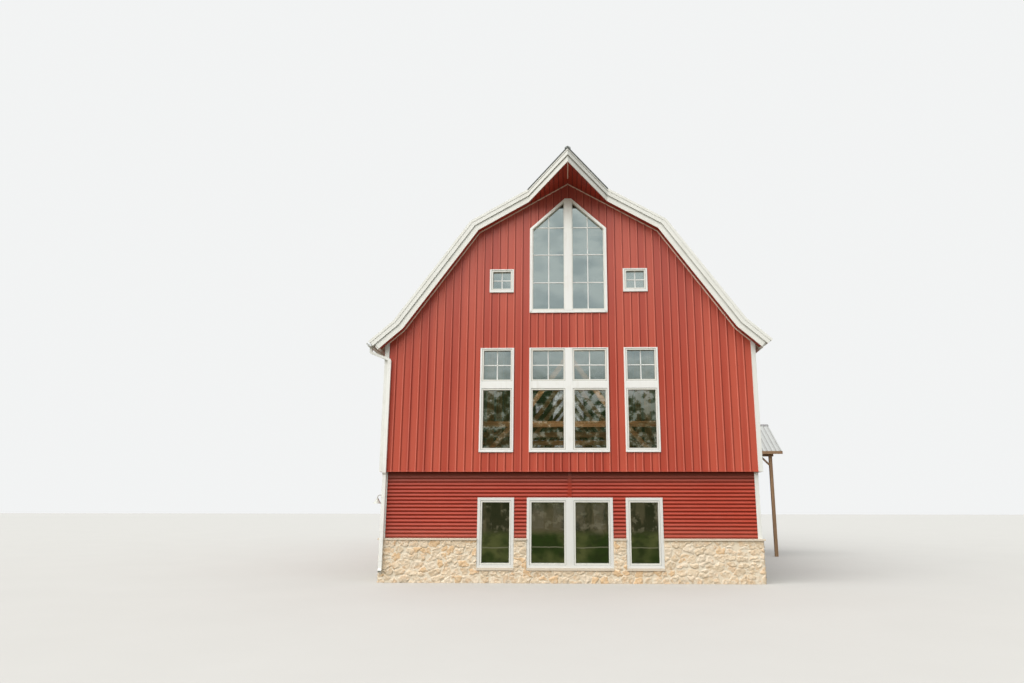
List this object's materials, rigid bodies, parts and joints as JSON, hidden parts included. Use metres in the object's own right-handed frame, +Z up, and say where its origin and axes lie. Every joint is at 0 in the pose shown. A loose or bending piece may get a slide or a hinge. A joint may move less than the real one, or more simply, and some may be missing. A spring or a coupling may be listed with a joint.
{
  "type": "gambrel barn",
  "caption": "Long red gambrel barn with flared eaves, hay hood, ribbed and corrugated siding on a stone base, and a side entrance porch.",
  "frame": {"origin": "middle of the plan at ground level, on the underside of the ground slab", "axes": "+Z up, the front gable faces -Y, the long sides run along Y, the porch is on +X"},
  "size_m": [15.277, 32.4808, 12.3547],
  "materials": {
    "concrete": "floated concrete",
    "stone_base": "split limestone in random courses",
    "cap_stone": "smooth cream cap stone",
    "red_siding": "satin barn red",
    "dark_soffit": "satin dark red",
    "roof_metal": "pale grey standing seam",
    "white_trim": "satin off-white",
    "white_metal": "satin white",
    "cream_trim": "satin cream",
    "timber": "oiled sawn timber",
    "porch_timber": "stained timber",
    "door_panel": "satin off-white",
    "glass": "clear window glass"
  },
  "bodies": {
    "root": {"ground_slab": "concrete", "gable_stone_bases": "stone_base", "side_stone_bases": "stone_base", "stone_caps": "cap_stone", "front_lower_wall": "red_siding", "rear_lower_wall": "red_siding", "left_lower_wall": "red_siding", "right_lower_wall": "red_siding", "upper_floor": "timber", "front_gable_wall": "red_siding", "rear_gable_wall": "red_siding", "left_upper_wall": "red_siding", "right_upper_wall": "red_siding", "left_upper_roof": "roof_metal", "right_upper_roof": "roof_metal", "lower_roofs": "roof_metal", "flared_roofs": "roof_metal", "hay_hood": "roof_metal", "ridge_cap": "roof_metal", "rake_soffits": "dark_soffit", "eave_soffits": "dark_soffit", "rake_fascias": "white_trim", "rake_boards": "white_trim", "rake_caps": "roof_metal", "eave_fascias": "white_trim", "gutters": "white_metal", "downspouts": "white_metal", "corner_trims": "white_trim", "frieze_trims": "cream_trim", "jetty_flashing": "red_siding", "front_window_frames": "white_trim", "rear_window_frames": "white_trim", "side_window_frames": "white_trim", "front_glass": "glass", "rear_glass": "glass", "side_glass": "glass", "hall_posts": "timber", "tie_beams": "timber", "truss_struts": "timber", "roof_purlins": "timber", "porch_front_roof": "roof_metal", "porch_rear_roof": "roof_metal", "porch_posts": "porch_timber", "porch_beams": "porch_timber", "porch_braces": "porch_timber", "entrance_doors": "door_panel", "wall_lamp": "white_metal"}
  },
  "joints": []
}
